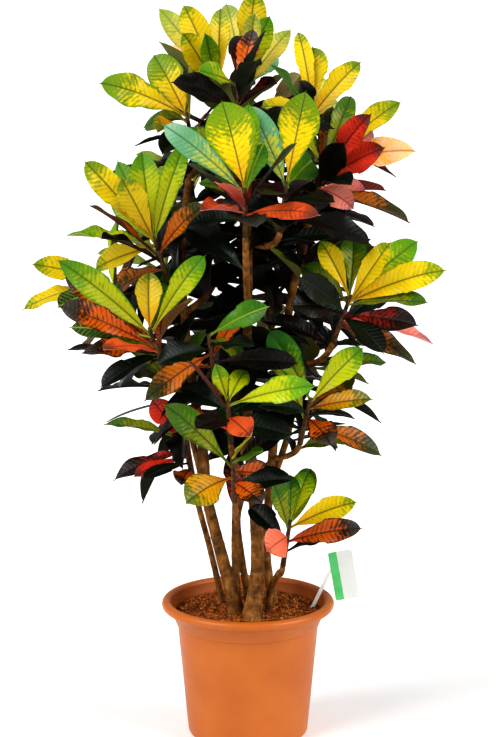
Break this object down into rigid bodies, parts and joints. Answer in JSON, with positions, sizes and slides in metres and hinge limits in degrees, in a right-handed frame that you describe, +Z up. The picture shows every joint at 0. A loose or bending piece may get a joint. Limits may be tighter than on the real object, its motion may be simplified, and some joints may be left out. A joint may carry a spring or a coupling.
{
  "type": "potted croton",
  "caption": "Bushy many-stemmed croton with heads of yellow-green young leaves over dark red old ones, in a round rolled-rim nursery pot.",
  "frame": {"origin": "centre of the pot's flat base, on the surface that it stands on", "axes": "+Z up along the pot's axis, -Y towards the plant's front, +X to its right"},
  "size_m": [0.57, 0.4664, 1.029],
  "materials": {
    "terracotta_plastic": "satin",
    "potting_mix": "rough",
    "label_card": "semi-gloss",
    "bark": "rough",
    "new_leaf": "glossy",
    "old_leaf": "glossy"
  },
  "bodies": {
    "root": {"back_left_high_new": "new_leaf", "back_left_high_old": "old_leaf", "back_left_new": "new_leaf", "back_left_old": "old_leaf", "back_low_new": "new_leaf", "back_low_old": "old_leaf", "back_right_high_new": "new_leaf", "back_right_high_old": "old_leaf", "back_right_new": "new_leaf", "back_right_old": "old_leaf", "back_top_new": "new_leaf", "back_top_old": "old_leaf", "bottom_right_new": "new_leaf", "bottom_right_old": "old_leaf", "centre_low_old": "old_leaf", "centre_lowest_old": "old_leaf", "centre_mid_old": "old_leaf", "crown_left_new": "new_leaf", "crown_red_old": "old_leaf", "crown_top_new": "new_leaf", "crown_top_old": "old_leaf", "far_left_new": "new_leaf", "front_left_new": "new_leaf", "front_left_old": "old_leaf", "front_right_old": "old_leaf", "heart_left_old": "old_leaf", "heart_low_left_old": "old_leaf", "heart_low_right_old": "old_leaf", "heart_middle_old": "old_leaf", "heart_right_old": "old_leaf", "left_droop_old": "old_leaf", "left_lower_new": "new_leaf", "left_lower_old": "old_leaf", "left_upper_new": "new_leaf", "left_upper_old": "old_leaf", "low_right_old": "old_leaf", "plant_label": "label_card", "pot": "terracotta_plastic", "right_back_old": "old_leaf", "right_mid_new": "new_leaf", "right_mid_old": "old_leaf", "right_red_new": "new_leaf", "right_red_old": "old_leaf", "soil": "potting_mix", "trunk_back": "bark", "trunk_centre": "bark", "trunk_front": "bark", "trunk_left": "bark", "trunk_left_thin": "bark", "trunk_right": "bark", "trunk_right_low": "bark", "upper_left_new": "new_leaf", "upper_left_old": "old_leaf", "upper_right_new": "new_leaf", "upper_right_old": "old_leaf"}
  },
  "joints": []
}
